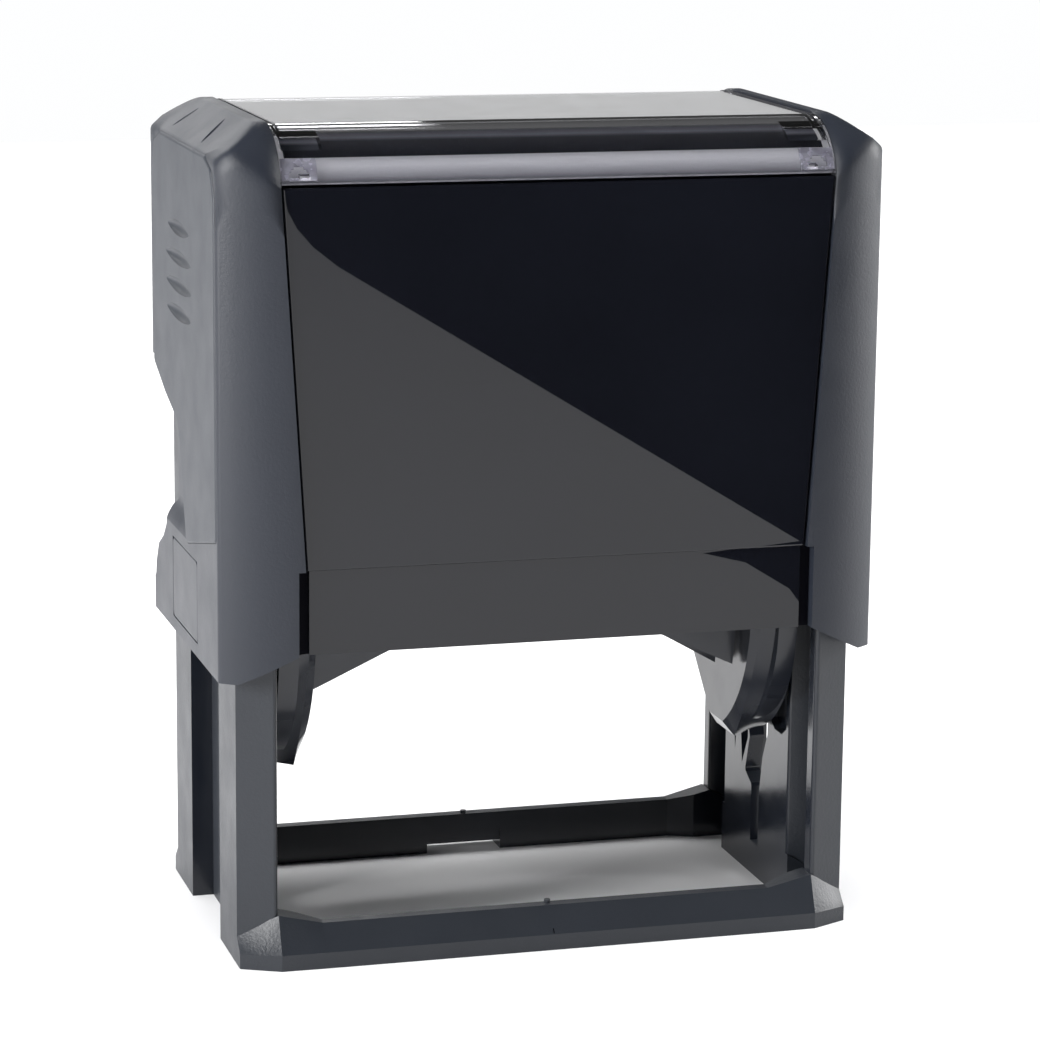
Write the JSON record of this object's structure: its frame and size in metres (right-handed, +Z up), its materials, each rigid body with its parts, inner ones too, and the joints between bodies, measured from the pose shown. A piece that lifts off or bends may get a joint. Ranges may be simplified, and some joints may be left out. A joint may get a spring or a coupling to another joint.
{
  "type": "self-inking stamp",
  "caption": "Self-inking office stamp: push-down cap over a framed base, flipping text plate carrier, ink pad, clear index window and side lock buttons.",
  "frame": {"origin": "middle of the rectangle the foot stands on, at the level of the paper", "axes": "+Z up along the stroke, +X to the right along the long side, +Y to the back"},
  "size_m": [0.0984, 0.0584, 0.121],
  "materials": {
    "housing_grey": "fine moulded texture",
    "cheek_grey": "fine moulded texture, slightly lighter",
    "panel_black": "high gloss",
    "window_clear": "clear polished plastic",
    "card_paper": "printed index card, uncoated",
    "mechanism_dark": "semi gloss inner moulding",
    "pin_steel": "turned steel",
    "spring_steel": "drawn wire",
    "pad_ink": "ink-soaked felt",
    "die_rubber": "laser-cut stamp rubber"
  },
  "bodies": {
    "base": {"base_frame": "housing_grey", "pad_housing": "mechanism_dark", "ink_pad_tray": "mechanism_dark", "ink_pad": "pad_ink", "return_spring_left": "spring_steel", "return_spring_right": "spring_steel"},
    "cap": {"cap_shell": "housing_grey", "front_panel": "panel_black", "rear_panel": "panel_black", "left_cheek": "cheek_grey", "right_cheek": "cheek_grey", "index_card": "card_paper", "bridge": "mechanism_dark", "axle_pin_left": "pin_steel", "axle_pin_right": "pin_steel"},
    "window": {"index_window": "window_clear"},
    "carrier": {"plate_carrier": "mechanism_dark", "carrier_end_left": "mechanism_dark", "carrier_end_right": "mechanism_dark", "text_plate": "mechanism_dark", "rubber_die": "die_rubber"},
    "button_left": {"lock_button_left": "housing_grey"},
    "button_right": {"lock_button_right": "housing_grey"}
  },
  "joints": [
    {"name": "press_slide", "type": "slide", "parent": "base", "child": "cap", "axis": [0, 0, -1], "range_m": [0, 0.0386], "stiffness_N_per_m": 600, "springref_m": -0.012, "deforming": ["return_spring_left", "return_spring_right"]},
    {"name": "carrier_flip", "type": "hinge", "parent": "cap", "child": "carrier", "pos_m": [0, 0, 0.046], "axis": [-1, 0, 0], "range_deg": [0, 180]},
    {"name": "window_lift", "type": "slide", "parent": "cap", "child": "window", "axis": [0, 0, 1], "range_m": [0, 0.02]},
    {"name": "lock_left", "type": "slide", "parent": "cap", "child": "button_left", "axis": [1, 0, 0], "range_m": [0, 0.0012], "stiffness_N_per_m": 900, "springref_m": -0.0008},
    {"name": "lock_right", "type": "slide", "parent": "cap", "child": "button_right", "axis": [-1, 0, 0], "range_m": [0, 0.0012], "stiffness_N_per_m": 900, "springref_m": -0.0008}
  ],
  "couplings": [
    {"joint": "carrier_flip", "follows": "press_slide", "rad_per_m": 81.388}
  ]
}
